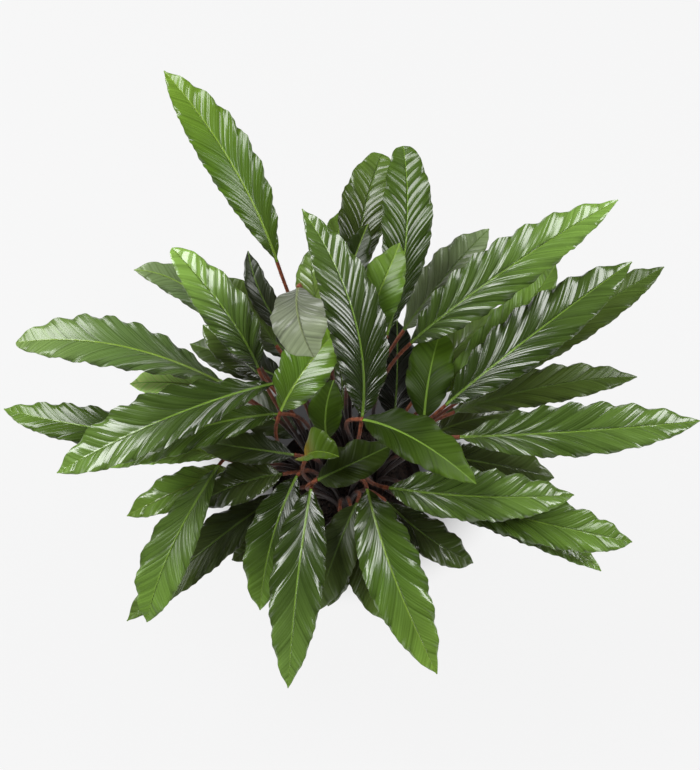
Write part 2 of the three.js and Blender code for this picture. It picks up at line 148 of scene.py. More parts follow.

# %% [markdown]
# No two leaves are alike. Some are puffed up between their side veins and some lie nearly
# flat, some are finely ribbed, the wax of old or shaded leaves is duller, and the green is
# lighter or darker, partly the leaf's own tone and partly painted light and shade. Towards the
# tip it is painted lighter still, where the leaf reaches out into the light, or darker, where
# it lies under another one. A leaf that isn't named below has the plain look.

# %% How leaves differ: share of the pillows, share of the small folds, finish, lightness
# (partly painted light and shade) and how much painted light (or, below 0, painted shade)
# the tip has over the middle
PLAIN_LOOK = (1.0, 1.0, "waxy", 1.0, 0.0)
LOOKS = {
    1: (0.25, 0.8, "satin", 0.9, 0.0),
    2: (0.35, 1.8, "satin", 0.75, -0.4),
    3: (0.60, 1.8, "satin", 1.3, 0.0),
    4: (0.50, 1.0, "waxy", 0.9, 0.0),
    5: (0.40, 0.8, "dull", 0.2, 0.0),
    6: (0.30, 1.2, "dull", 1.1, -0.5),
    7: (0.20, 1.4, "shade_greyed", 1.05, 0.4),
    8: (0.40, 0.8, "shade_greyed", 0.7, -0.8),
    9: (0.80, 1.0, "dull", 1.9, -0.6),
    10: (0.80, 1.0, "waxy", 4.5, -0.8),
    11: (0.50, 0.8, "shade_greyed", 2.7, -0.3),
    12: (1.20, 3.2, "waxy", 1.5, 0.2),
    13: (0.40, 0.8, "shade_greyed", 1.0, 0.0),
    14: (0.50, 0.8, "shade_greyed", 0.9, 0.0),
    15: (0.80, 1.0, "waxy", 0.9, 0.3),
    16: (0.40, 0.8, "dusty", 0.95, 0.0),
    17: (0.60, 0.8, "dusty", 5.5, 0.0),
    18: (0.70, 1.0, "waxy", 1.0, 0.0),
    19: (0.50, 0.8, "satin", 1.5, 0.0),
    20: (0.50, 0.8, "satin", 0.8, 0.3),
    21: (0.80, 1.0, "waxy", 5.5, 0.0),
    22: (0.50, 0.8, "dull", 0.9, 0.7),
    23: (0.25, 1.4, "dull", 1.8, -0.4),
    24: (0.80, 0.8, "waxy", 2.4, -0.7),
    25: (1.00, 1.0, "waxy", 1.3, -0.9),
    26: (0.40, 0.8, "dull", 1.2, 0.3),
    27: (0.40, 0.6, "satin", 0.85, 0.4),
    28: (0.60, 0.6, "waxy", 1.0, 0.3),
    29: (0.35, 0.6, "dull", 1.3, 0.0),
    31: (0.80, 1.2, "satin", 1.2, 0.6),
    33: (0.50, 0.8, "waxy", 0.9, 0.4),
    34: (0.90, 1.4, "waxy", 1.1, 0.4),
    35: (1.60, 1.4, "waxy", 1.5, -0.3),
    36: (0.90, 1.2, "satin", 1.9, -0.6),
    37: (0.60, 1.0, "waxy", 1.7, 0.0),
    38: (1.50, 1.3, "waxy", 1.3, -0.5),
    39: (0.50, 0.8, "waxy", 1.2, 0.7),
    40: (0.60, 1.0, "dull", 2.1, -0.6),
    41: (0.80, 1.2, "waxy", 0.75, -0.3),
    42: (0.60, 0.8, "dull", 2.4, -0.7),
    43: (1.40, 1.3, "waxy", 1.6, -0.1),
    44: (0.50, 0.8, "dull", 4.0, -0.9),
    45: (0.15, 0.3, "matt", 0.8, 0.0),
    46: (0.60, 0.8, "shade_greyed", 0.12, -0.5),
    48: (0.80, 1.2, "waxy", 1.55, 0.0),
    49: (0.60, 0.8, "dull", 0.8, 0.0),
    50: (0.60, 0.8, "dull", 0.5, 0.5),
    51: (0.60, 0.8, "waxy", 1.7, -0.3),
    52: (0.25, 0.5, "matt", 0.6, 0.0),
    53: (0.35, 1.8, "waxy", 0.65, 0.0),
    54: (0.50, 0.8, "satin", 1.1, 0.2),
    55: (0.35, 0.6, "matt", 1.0, -0.9),
    56: (0.60, 1.0, "dull", 0.6, -0.6),
    57: (0.40, 0.8, "matt", 0.7, -0.6),
}

# %% [markdown]
# ## From a pixel to a place
#
# The photograph looks from the front and well above. A pixel is a ray from the camera's eye,
# and the height of the thing that shows there says where on the ray it is.

# %% The camera's directions, and the place that shows at a pixel
elevation = np.radians(PHOTO["elevation"])
right = np.array([1.0, 0.0, 0.0])
forward = np.array([0.0, np.cos(elevation), -np.sin(elevation)])
upward = np.array([0.0, np.sin(elevation), np.cos(elevation)])
eye = AIM - forward * PHOTO["distance"]


def seen_at(pixel, height):
    """The eye plus the pixel's ray, as long as it takes to come down to the height (mm)."""
    per_pixel = PHOTO["mm_per_pixel"] / PHOTO["distance"]
    across = (pixel[0] - PHOTO["width"] / 2) * per_pixel
    up = (PHOTO["height"] / 2 - pixel[1]) * per_pixel
    ray = forward + right * across + upward * up
    return eye + ray * (height - eye[2]) / ray[2]


print("crown at mm:", seen_at((345, 480), PEAT["middle_height"]).round())

# %% [markdown]
# ## Helpers for curves and surfaces
#
# A stalk, a blade and the pot are all the same kind of surface: a row of closed rings, each
# with the same number of points, skinned from one end to the other and capped. One function
# turns such rings into a mesh, so that every piece is a short formula for its rings.

# %% Unit vectors and directions along a curve
def unit(vectors):
    """Each vector divided by its own length."""
    return vectors / np.linalg.norm(vectors, axis=-1, keepdims=True)


def square_to(vectors, along):
    """What is left of each vector without its part along the given direction, at length 1."""
    return unit(vectors - (vectors * along).sum(-1, keepdims=True) * along)


# %% Rings to a mesh
SHARP_DEGREES = 50  # faces that meet at more than this keep a hard edge


def skin(name, rings, attributes=None, replaces=(), material=None):
    """rings has the shape (bodies, rings, points, 3), in mm. Each ring is joined to the next
    by quads that face outwards where the ring turns right-handed about the way it is carried,
    and the first and last rings are closed by one face each."""
    bodies, count, points = rings.shape[:3]
    number = np.arange(bodies * count * points).reshape(bodies, count, points)
    a, b = number, np.roll(number, -1, axis=2)
    quads = np.stack([a[:, :-1], b[:, :-1], b[:, 1:], a[:, 1:]], axis=-1).reshape(-1, 4)
    caps = np.concatenate([number[:, 0, ::-1], number[:, -1]])
    corners = np.concatenate([quads.ravel(), caps.ravel()])
    totals = np.concatenate([np.full(len(quads), 4), np.full(len(caps), points)])
    mesh = bpy.data.meshes.new(name)
    mesh.vertices.add(number.size)
    mesh.vertices.foreach_set("co", (rings * MM).astype(np.float32).ravel())
    mesh.loops.add(len(corners))
    mesh.loops.foreach_set("vertex_index", corners.astype(np.int32))
    mesh.polygons.add(len(totals))
    starts = np.concatenate([[0], np.cumsum(totals)[:-1]])
    mesh.polygons.foreach_set("loop_start", starts.astype(np.int32))
    mesh.update(calc_edges=True)
    mesh.validate()
    mesh.shade_smooth()
    mesh.set_sharp_from_angle(angle=np.radians(SHARP_DEGREES))
    for key, values in (attributes or {}).items():
        layer = mesh.attributes.new(key, "FLOAT", "POINT")
        layer.data.foreach_set("value", np.asarray(values, dtype=np.float32).ravel())
    piece = bpy.data.objects.new(name, mesh)
    bpy.context.scene.collection.objects.link(piece)
    if material is not None:
        mesh.materials.append(material)
    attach(piece, "root")
    if replaces:
        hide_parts(*replaces)
    return piece


# %% Colours and shader nodes
def linear(hex_colour):
    """An sRGB hex colour as linear red, green, blue and alpha: each channel is divided by
    12.92 near black, and is otherwise ((c + 0.055) / 1.055) to the power 2.4."""
    srgb = np.array([int(hex_colour[i : i + 2], 16) for i in (1, 3, 5)]) / 255
    rgb = np.where(srgb <= 0.04045, srgb / 12.92, ((srgb + 0.055) / 1.055) ** 2.4)
    return (*rgb.tolist(), 1.0)


def add_node(material, kind, *inputs, out=0, stops=(), **settings):
    """Adds a shader node and gives one of its outputs. Settings in lower case are the node's
    own. The inputs are fed in their order, and a setting that starts with a capital feeds the
    input of that name: an output is linked, any other value is set, and None is passed over.
    Stops are the places and hex colours of a colour ramp."""
    tree = material.node_tree
    node = tree.nodes.new(kind)
    for key, value in settings.items():
        if key[0].islower():
            setattr(node, key, value)
    capital = [key for key in settings if key[0].isupper()]
    named = [(node.inputs[key.replace("_", " ")], settings[key]) for key in capital]
    for socket, value in [*zip(node.inputs, inputs), *named]:
        if isinstance(value, bpy.types.NodeSocket):
            tree.links.new(value, socket)
        elif value is not None:
            socket.default_value = value
    if stops:
        ramp = node.color_ramp.elements
        ramp.remove(ramp[1])
        ramp[0].position, ramp[0].color = stops[0][0], linear(stops[0][1])
        for place, colour in stops[1:]:
            ramp.new(place).color = linear(colour)
    return node.outputs[out]


def feed(output, socket):
    """Links an output to an input of the same material."""
    socket.id_data.links.new(output, socket)


def new_material(name):
    """An empty node material with its Principled shader, which the caller fills in."""
    material = bpy.data.materials.new(name)
    material.use_nodes = True
    return material, material.node_tree.nodes["Principled BSDF"]


# %% [markdown]
# ## The leaf's surface
#
# A calathea leaf is thin and firm, and its upper skin is covered with clear wax, so it shines
# like polished leather. A yellow-green midrib runs along it, and side veins leave the midrib
# almost along it and curve out to the margin. The blade swells between two of them like a
# pillow and is creased along them, and finer veins run between. The green is deepest near
# the neck and on old leaves, and yellower towards the tip; a leaf in the plant's shade is
# given a deeper green still, as painted shade. The underside is dull maroon.
#
# An image could be wrapped on each blade. Here every blade carries a few numbers at each
# point instead, so that the pattern follows the veins of the blade, however it bends: how far
# along it the point is, how many mm off the midrib, how many side veins come before it,
# whether it is on the under face or the rim, how light the leaf is there, which holds painted
# light and shade as well as its own tone, and how much it is ribbed.

# %% The greens of the leaves: at the neck, halfway and at the tip; the deep green is partly painted shade
GREENS = {
    "deep": ("#283412", "#323f17", "#4c6226"),
    "full": ("#28370f", "#3b501b", "#668634"),
    "light": ("#3f5417", "#4f6e20", "#6c8c2f"),
    "pale": ("#666e54", "#6c7656", "#7b8e52"),
    "young": ("#7d5c16", "#537110", "#63831d"),
}
MIDRIB_GREEN = {
    "deep": "#5a742c",
    "full": "#789a38",
    "light": "#84a43a",
    "pale": "#7a8558",
    "young": "#7c9a2c",
}
MAROON = "#451b1f"
RIM_BROWN = "#2d2a16"

# %% How fine the leaf's pattern is
FINE_VEINS = 9  # to one side vein: 3 mm apart, as the real ones, 1 mm apart, wouldn't show
SMALL_FOLDS = 4  # to one side vein
STREAKS = 12.0  # to one side vein
PATCH = 0.030  # metres across the lighter and darker patches of a blade
# The creases' share is painted shade: it darkens the green along each side vein
TONE = dict(least=0.45, streaks=0.7, patches=0.5, painted_crease_shade=-0.2)
CREASE_SHARPNESS = 40.0
MIDRIB = dict(full_mm=0.8, none_mm=1.7, fades_from=0.3, at_tip=0.6)
RIM_SHARE = 0.2
WAX_IOR = 1.5
COAT_ROUGHNESS = 0.1
UNDERSIDE_ROUGHER = 0.4

# The finishes, from a fresh leaf with a thick coat of wax to one that is old, dusty or deep in
# the shade: how rough the wax is on its smooth and on its rough streaks, how strongly it
# shines, how much of a second clear layer is on it, and how pure the green below it is. The
# last one greys the green of leaves deep in the shade, as painted shade.
FINISH = {
    "waxy": dict(smooth=0.14, rough=0.27, shine=0.75, coat=0.15, green=0.96),
    "satin": dict(smooth=0.17, rough=0.30, shine=0.52, coat=0.10, green=1.0),
    "dull": dict(smooth=0.30, rough=0.42, shine=0.40, coat=0.0, green=1.0),
    "matt": dict(smooth=0.38, rough=0.52, shine=0.18, coat=0.0, green=1.1),
    "dusty": dict(smooth=0.22, rough=0.36, shine=0.55, coat=0.08, green=0.84),
    "shade_greyed": dict(smooth=0.26, rough=0.38, shine=0.45, coat=0.0, green=0.7),
}
RELIEF_MM = dict(fine_vein=0.02, small_fold=0.26, streak=0.22)


# %% The leaf material
def leaf_material(tone, finish):
    """A living leaf under clear wax: green that lightens along the blade, with painted shade that
    darkens it in each crease, streaked by the fine veins, with a bright midrib and a thin dark
    rim, and dull maroon wherever the attribute under is 1. Its lightness at each point holds
    painted light and shade as well as the leaf's own tone. The eye gets silvery bands that break
    up into streaks, because the wax is smoother on one fine vein than on the next."""
    leaf, shader = new_material(f"{finish}_calathea_leaf_{tone}")
    wax = FINISH[finish]
    along = add_node(leaf, "ShaderNodeAttribute", attribute_name="along", out="Fac")
    off_rib = add_node(leaf, "ShaderNodeAttribute", attribute_name="off_rib", out="Fac")
    veins = add_node(leaf, "ShaderNodeAttribute", attribute_name="veins", out="Fac")
    under = add_node(leaf, "ShaderNodeAttribute", attribute_name="under", out="Fac")
    rim = add_node(leaf, "ShaderNodeAttribute", attribute_name="rim", out="Fac")
    shade = add_node(leaf, "ShaderNodeAttribute", attribute_name="shade", out="Fac")
    ribbed = add_node(leaf, "ShaderNodeAttribute", attribute_name="ribbed", out="Fac")
    place = add_node(leaf, "ShaderNodeTexCoord", out="Object")

    streaks = add_node(leaf, "ShaderNodeTexNoise", None, veins, STREAKS, 1.0,
                       noise_dimensions="1D")
    patches = add_node(leaf, "ShaderNodeTexNoise", place, None, 1 / PATCH, 2.0)
    angle = add_node(leaf, "ShaderNodeMath", veins, np.pi, operation="MULTIPLY")
    beside = add_node(leaf, "ShaderNodeMath", angle, operation="COSINE")
    beside = add_node(leaf, "ShaderNodeMath", beside, operation="ABSOLUTE")
    crease = add_node(leaf, "ShaderNodeMath", beside, CREASE_SHARPNESS, operation="POWER")

    light = TONE["least"]
    for pattern, name in ((streaks, "streaks"), (patches, "patches"), (crease, "painted_crease_shade")):
        light = add_node(leaf, "ShaderNodeMath", pattern, TONE[name], light,
                         operation="MULTIPLY_ADD")
    light = add_node(leaf, "ShaderNodeMath", light, shade, operation="MULTIPLY")
    stops = list(zip((0.0, 0.5, 1.0), GREENS[tone]))
    lengthwise = add_node(leaf, "ShaderNodeValToRGB", along, stops=stops)
    green = add_node(leaf, "ShaderNodeVectorMath", lengthwise, operation="SCALE", Scale=light)
    green = add_node(leaf, "ShaderNodeHueSaturation", Saturation=wax["green"], Color=green)

    on_rib = add_node(leaf, "ShaderNodeMapRange", off_rib, MIDRIB["full_mm"], MIDRIB["none_mm"],
                      1.0, 0.0)
    faded = add_node(leaf, "ShaderNodeMapRange", along, MIDRIB["fades_from"], 1.0,
                     1.0, MIDRIB["at_tip"])
    on_rib = add_node(leaf, "ShaderNodeMath", on_rib, faded, operation="MULTIPLY")
    upper = add_node(leaf, "ShaderNodeMixRGB", on_rib, green, linear(MIDRIB_GREEN[tone]))
    on_rim = add_node(leaf, "ShaderNodeMath", rim, RIM_SHARE, operation="MULTIPLY")
    upper = add_node(leaf, "ShaderNodeMixRGB", on_rim, upper, linear(RIM_BROWN))
    both_sides = add_node(leaf, "ShaderNodeMixRGB", under, upper, linear(MAROON))
    feed(both_sides, shader.inputs["Base Color"])

    waxy = add_node(leaf, "ShaderNodeMapRange", streaks, 0.3, 0.7, wax["smooth"], wax["rough"])
    rough = add_node(leaf, "ShaderNodeMath", under, UNDERSIDE_ROUGHER, waxy,
                     operation="MULTIPLY_ADD")
    feed(rough, shader.inputs["Roughness"])

    ripple = add_node(leaf, "ShaderNodeMath", angle, 2.0 * FINE_VEINS, operation="MULTIPLY")
    ripple = add_node(leaf, "ShaderNodeMath", ripple, operation="SINE")
    fold = add_node(leaf, "ShaderNodeMath", angle, float(SMALL_FOLDS), operation="MULTIPLY")
    fold = add_node(leaf, "ShaderNodeMath", fold, operation="SINE")
    fold = add_node(leaf, "ShaderNodeMath", fold, operation="ABSOLUTE")
    fold = add_node(leaf, "ShaderNodeMath", fold, ribbed, operation="MULTIPLY")
    height = add_node(leaf, "ShaderNodeMath", streaks, RELIEF_MM["streak"], operation="MULTIPLY")
    for pattern, size in ((ripple, RELIEF_MM["fine_vein"]), (fold, RELIEF_MM["small_fold"])):
        height = add_node(leaf, "ShaderNodeMath", pattern, size, height, operation="MULTIPLY_ADD")
    relief = add_node(leaf, "ShaderNodeBump", Height=height, Strength=1.0, Distance=MM)
    feed(relief, shader.inputs["Normal"])
    shader.inputs["IOR"].default_value = WAX_IOR
    shader.inputs["Specular IOR Level"].default_value = wax["shine"]
    shader.inputs["Coat Weight"].default_value = wax["coat"]
    shader.inputs["Coat Roughness"].default_value = COAT_ROUGHNESS
    return leaf


leaf_materials = {
    (tone, finish): leaf_material(tone, finish) for tone in GREENS for finish in FINISH
}
print("leaf materials:", len(leaf_materials))

# %% [markdown]
# ## The blades
#
# A blade is a shallow V along an arched midrib. Its margins are longer than its midrib, so
# they go up and down in waves. The mesh's own lines follow the side veins, which is why the
# creases between the pillows stay sharp with few points. At the margins the waves keep the
# places that the faceted solid gives them, so that the finer blade covers the solid.

# %% The midrib and its directions
def midrib(row, t):
    """The quadratic curve through neck, middle and tip: (1-t)^2 neck + 2t(1-t) knee + t^2 tip,
    with the knee at 2 middle - (neck + tip) / 2. Also its directions along, to the right
    margin and out of the upper face, for an array of t of any shape."""
    neck_pixel, mid_pixel, tip_pixel, (low, high), arch = row[2], row[3], row[4], row[5], row[7]
    neck, tip = seen_at(neck_pixel, low), seen_at(tip_pixel, high)
    middle = seen_at(mid_pixel, (low + high) / 2 + arch)
    knee = 2 * middle - (neck + tip) / 2
    t = np.asarray(t)[..., None]
    point = (1 - t) ** 2 * neck + 2 * t * (1 - t) * knee + t**2 * tip
    tangent = unit(2 * (1 - t) * (knee - neck) + 2 * t * (tip - knee))
    level = unit(np.cross(tip - neck, [0.0, 0.0, 1.0]))
    side = square_to(np.broadcast_to(level, tangent.shape), tangent)
    return point, tangent, side, np.cross(side, tangent)


def curve_length(points):
    """The sum of the distances from each point to the next."""
    return np.linalg.norm(np.diff(points, axis=0), axis=1).sum()


def bow(t):
    """The root of a half sine, which is 0 at both ends and 1 in the middle."""
    return np.sqrt(np.maximum(np.sin(np.pi * t), 0))


# %% How the blade is folded between its side veins, in mm
STATIONS_PER_WAVE = 16
ACROSS = dict(points=19, crowded=1.25)
SWEEP = dict(waves=2.1, curve=0.65, most=0.28, easing=1.2)
DRAWN_OUT = dict(most=0.22, power=8)
MARGIN_WAVE = dict(power=2.6, flatter=2.6)
PILLOW = dict(height=2.3, softness=0.006, unlike=0.35, from_rib=3.0)
RIB = dict(height=0.6, width=1.2, lower_at_tip=0.6)
RUFFLE = dict(share=0.12, left=2.3, right=2.7, power=4)
ROLL = dict(depth=1.2, power=12)
NOTCH = dict(depth=1.1, power=6, small=0.4, small_ones=3)
MARGIN_THINNER = 0.4
LIGHTNESS_UNLIKE = 0.05
RIB_NARROWS = 1.2  # what the midrib's colour loses in width on its way to the tip
RIM_POWER = 30  # keeps the rim's colour to the outermost millimetre
APART = 40  # side veins between the streaks of the left half and of the right half


# %% The blade's rings
def blade_rings(row, look, rng):
    """Each ring follows a side vein from the left margin back to the midrib and out to the
    right margin, and returns below. A vein that reaches the margins at the share s of the
    length leaves the midrib earlier, at t = s - sweep (1 - |v|^curve) sin(pi s)^1.2. Off the
    midrib by v half-widths the face lies higher by |v| half sin(fold), by the wave
    -cos(2 pi waves s) sign(v) |v|^2.6 crest, and by a pillow |sin(pi waves s)|, softened,
    which is half a wave later on the left so that it swells where that margin rises. On a
    leaf with a smaller share of pillows the wave's power is higher, so it keeps to the
    margin. The outermost millimetre or two rolls down by |v|^12. The margin itself steps back
    by |cos(pi waves s)|^6 where a side vein reaches it, and a little between. The half-width
    is width / 2 times sin(pi t) to a power of about 0.7, which is higher at both ends of a
    leaf with a drawn-out tip and lower, by a t^4 term, towards a blunt one."""
    width = row[6]
    puffed, ribbed, _, lightness_and_painted_light, painted_tip_light = look
    widest = row[8] if len(row) > 8 else 0.5
    blunt = row[9] if len(row) > 9 else 0
    fold = row[10] if len(row) > 10 else BLADE["fold_degrees"]
    waves = round(curve_length(midrib(row, np.linspace(0, 1, 201))[0]) / WAVE["pitch"])
    s = np.linspace(0, 1, waves * STATIONS_PER_WAVE + 1)[:, None]
    even = np.linspace(-1, 1, ACROSS["points"])
    v = (np.sign(even) * np.abs(even) ** ACROSS["crowded"])[None, :]
    size = np.abs(v)
    easing = np.maximum(np.sin(np.pi * s), 0) ** SWEEP["easing"]
    sweep = min(SWEEP["waves"] / waves, SWEEP["most"]) * easing
    t = s - sweep * (1 - size ** SWEEP["curve"])
    point, tangent, side, normal = midrib(row, t)
    shifted = t ** (np.log(0.5) / np.log(widest))
    drawn_out = DRAWN_OUT["most"] * (1 - blunt) * (2 * t - 1) ** DRAWN_OUT["power"]
    power = BLADE["fullness"] + drawn_out - BLUNTEST * blunt * t**4
    half = np.maximum(width / 2 * np.maximum(np.sin(np.pi * shifted), 0) ** power,
                      BLADE["neck_half"] + (BLADE["tip_half"] - BLADE["neck_half"]) * t)
    crest = WAVE["height"] * width / WAVE["for_width"] * bow(s)
    turn = waves * s + 0 * v
    steepness = MARGIN_WAVE["power"] + MARGIN_WAVE["flatter"] * np.clip(1 - puffed, 0, 1)
    wave = -np.cos(2 * np.pi * turn) * crest * np.sign(v) * size**steepness
    vein = turn + np.where(v < 0, 0.5, 0)
    soft = PILLOW["softness"]
    pillow = np.sqrt(np.sin(np.pi * vein) ** 2 + soft) - np.sqrt(soft)
    swelling = 1 + PILLOW["unlike"] * rng.uniform(-1, 1, (2, waves + 2))
    pillow = pillow * swelling[(v + 0 * s < 0).astype(int), np.floor(vein + 1e-6).astype(int)]
    shoulder = (1 - np.exp(-size * half / PILLOW["from_rib"])) * (1 - size**3)
    swell = puffed * PILLOW["height"] * width / WAVE["for_width"]
    wave = wave + swell * bow(s) * pillow * shoulder
    phase = rng.uniform(0, 2 * np.pi, 2)
    speed = np.where(v < 0, RUFFLE["left"], RUFFLE["right"])
    start = np.where(v < 0, phase[0], phase[1])
    ruffle = RUFFLE["share"] * crest * np.sin(2 * np.pi * speed * turn + start)
    wave = wave + ruffle * size ** RUFFLE["power"]
    angle = np.radians(fold)
    lift = size * half * np.sin(angle) + wave - ROLL["depth"] * bow(s) * size ** ROLL["power"]
    notch = NOTCH["depth"] * np.abs(np.cos(np.pi * vein)) ** NOTCH["power"]
    notch = notch + NOTCH["small"] * np.sin(2 * NOTCH["small_ones"] * np.pi * vein + start)
    notch = notch * bow(s) * size ** NOTCH["power"]
    across = side * (v * (half - notch) * np.cos(angle))[..., None]
    surface = point + across + normal * lift[..., None]
    thick = BLADE["thickness"] / 2 * (1 - MARGIN_THINNER * size**6)
    ridge = RIB["height"] * np.exp(-((size * half / RIB["width"]) ** 2))
    ridge = ridge * (1 - RIB["lower_at_tip"] * t) * bow(s)
    upper = surface + normal * (thick + ridge)[..., None]
    lower = surface - normal * (thick + ridge)[..., None]
    rings = np.concatenate([upper, lower[:, ::-1]], axis=1)[None]

    def twice(values):
        return np.concatenate([values, values[:, ::-1]], axis=1)

    flat = np.ones_like(turn)
    # The leaf's lightness holds painted light and shade as well as its own tone, and the tip's
    # slope is painted light or shade
    own_tone_and_painted_light = lightness_and_painted_light * rng.uniform(1 - LIGHTNESS_UNLIKE, 1 + LIGHTNESS_UNLIKE)
    underneath = np.minimum(1, (1 - size[:, ::-1]) * RIM_POWER) * flat
    attributes = {
        "along": twice(t),
        "off_rib": twice(size * half * (1 + RIB_NARROWS * t)),
        "veins": twice(vein + np.where(v < 0, 0, APART)),
        "under": np.concatenate([0 * flat, underneath], axis=1),
        "rim": twice(size**RIM_POWER * flat),
        "shade": own_tone_and_painted_light * twice(1 + painted_tip_light * (2 * t - 1)),
        "ribbed": ribbed * twice(flat),
    }
    return rings, attributes


# %% Make a blade for each leaf
rng = np.random.default_rng(7)
triangles = 0
for number, row in enumerate(LEAVES, 1):
    node_name = f"blade_{number:02d}"
    look = LOOKS.get(number, PLAIN_LOOK)
    rings, attributes = blade_rings(row, look, rng)
    waxed = leaf_materials[row[1], look[2]]
    skin(f"leaf_{number:02d}", rings, attributes, [node_name], waxed)
    triangles += 2 * rings.shape[1] * rings.shape[2]
print("blades:", len(LEAVES), "triangles:", triangles)

# %% [markdown]
# ## The stalks
#
# A leaf stalk is round, red-brown and hairy, which gives the plant its name. It climbs
# almost straight out of its shoot and bends over to run into the midrib, and its last
# centimetre is a slightly swollen joint that turns the blade to the light.

# %% The red-brown of the stalks, with painted shade that darkens them towards their feet
FIBRE = 0.004  # metres from one lighter patch of hairy skin to the next
PAINTED_FOOT_SHADE = dict(up_to=0.55, light=0.06)


def painted_shade_to_the_foot(material, colour):
    """Painted shade: the colour times 0.06 at a stalk's foot and times 1 near its blade, by the
    attribute up.
    """
    up = add_node(material, "ShaderNodeAttribute", attribute_name="up", out="Fac")
    light = add_node(material, "ShaderNodeMapRange", up, PAINTED_FOOT_SHADE["up_to"], 1.0,
                     PAINTED_FOOT_SHADE["light"], 1.0)
    return add_node(material, "ShaderNodeVectorMath", colour, operation="SCALE", Scale=light)


stalk_skin, shader = new_material("hairy_red_brown_stalk")
place = add_node(stalk_skin, "ShaderNodeTexCoord", out="Object")
fibres = add_node(stalk_skin, "ShaderNodeTexNoise", place, None, 1 / FIBRE, 4.0)
browns = [(0.3, "#52200e"), (0.75, "#a35830")]
stalk_brown = add_node(stalk_skin, "ShaderNodeValToRGB", fibres, stops=browns)
feed(painted_shade_to_the_foot(stalk_skin, stalk_brown), shader.inputs["Base Color"])
relief = add_node(stalk_skin, "ShaderNodeBump", Height=fibres, Strength=0.6, Distance=0.6 * MM)
feed(relief, shader.inputs["Normal"])
shader.inputs["Roughness"].default_value = 0.6

hair_brown, shader = new_material("rust_red_plant_hair")
place = add_node(hair_brown, "ShaderNodeTexCoord", out="Object")
tufts = add_node(hair_brown, "ShaderNodeTexNoise", place, None, 1 / FIBRE, 2.0)
rusts = [(0.3, "#6f361b"), (0.7, "#a8683d")]
rust_red = add_node(hair_brown, "ShaderNodeValToRGB", tufts, stops=rusts)
feed(painted_shade_to_the_foot(hair_brown, rust_red), shader.inputs["Base Color"])
shader.inputs["Roughness"].default_value = 0.7


# %% The stalks' curves
def stalk_curve(row, t):
    """The cubic curve (1-t)^3 foot + 3t(1-t)^2 rise + 3t^2(1-t) before + t^3 end, and its
    directions along, aside and square to both, carried along without twist."""
    point, tangent, _, _ = midrib(row, np.zeros(1))
    neck, into_blade = point[0], tangent[0]
    shoot = np.array([*SHOOTS[row[0]], 0.0])
    outward = unit((neck - shoot) * [1, 1, 0]) * SHOOT["root_circle"]
    foot = shoot + outward + [0, 0, PEAT["middle_height"]]
    end = neck - TOUCH_GAP * into_blade
    lean = end - foot
    reach = np.linalg.norm(lean)
    bend = STALK["sharpest"] + STALK["arrival"] * max(0, into_blade @ lean / reach)
    rise = foot + [0, 0, STALK["rise"] * reach]
    before = end - bend * reach * into_blade
    t = t[:, None]
    u = 1 - t
    curve = u**3 * foot + 3 * t * u**2 * rise + 3 * t**2 * u * before + t**3 * end
    slope = u**2 * (rise - foot) + 2 * t * u * (before - rise) + t**2 * (end - before)
    along = unit(slope)
    aside = square_to(np.broadcast_to([1.0, 0.3, 0.0], along.shape), along)
    return curve, along, aside, np.cross(along, aside)


# %% The stalks' rings
STALK_RINGS, STALK_POINTS = 28, 10
JOINT = dict(length=14, easing=6, thicker=0.1)
WITHIN = 0.96  # keeps the round stalk within the flats of the solid one


def stalk_radius(t, reach):
    """Straight from the foot's radius to the top's, and a tenth more over the last 14 mm."""
    radius = STALK["foot_radius"] + (STALK["top_radius"] - STALK["foot_radius"]) * t
    in_joint = np.clip((t - (1 - JOINT["length"] / reach)) * reach / JOINT["easing"], 0, 1)
    return radius * (1 + JOINT["thicker"] * in_joint) * WITHIN


def stalk_rings(row):
    """Circles square to the curve, with the radius given for each place along it."""
    t = np.linspace(0, 1, STALK_RINGS)
    curve, along, aside, other = stalk_curve(row, t)
    radius = stalk_radius(t, curve_length(curve))[:, None, None]
    turn = np.linspace(0, 2 * np.pi, STALK_POINTS, endpoint=False)[None, :, None]
    around = np.cos(turn) * aside[:, None] + np.sin(turn) * other[:, None]
    return curve[:, None] + radius * around


stalk_body = np.stack([stalk_rings(row) for row in LEAVES])
stalk_up = np.broadcast_to(np.linspace(0, 1, STALK_RINGS)[:, None], stalk_body.shape[:3])
skin("leaf_stalks", stalk_body, {"up": stalk_up}, ["stalks"], stalk_skin)
print("stalks:", stalk_body.shape)

# %% The stalks' hairs, drawn thicker than they are so that they show
HAIRS = dict(per_stalk=260, length=2.2, thick=0.11, point=0.02, sunk=0.1)


def hair_rings(row, rng):
    """Each hair is a three-sided spike. Its root is on the stalk's skin at a random place and
    angle, and it stands out of the skin with a little of the stalk's own direction in it."""
    count = HAIRS["per_stalk"]
    t = np.sort(rng.uniform(0.02, 0.995, count))
    curve, along, aside, other = stalk_curve(row, t)
    turn = rng.uniform(0, 2 * np.pi, count)[:, None]
    out = np.cos(turn) * aside + np.sin(turn) * other
    reach = curve_length(curve)
    root = curve + out * (stalk_radius(t, reach)[:, None] - HAIRS["sunk"])
    way = unit(out + along * rng.uniform(0.1, 0.9, (count, 1)))
    length = HAIRS["length"] * rng.uniform(0.5, 1.0, (count, 1))
    beside = square_to(along, way)
    across = np.cross(way, beside)
    corner = (np.arange(3) * 2 * np.pi / 3)[None, :, None]
    around = np.cos(corner) * beside[:, None] + np.sin(corner) * across[:, None]
    rings = []
    for share, thick in ((0.0, HAIRS["thick"]), (1.0, HAIRS["point"])):
        centre = root + way * length * share
        rings.append(centre[:, None] + thick * around)
    return np.stack(rings, axis=1), t


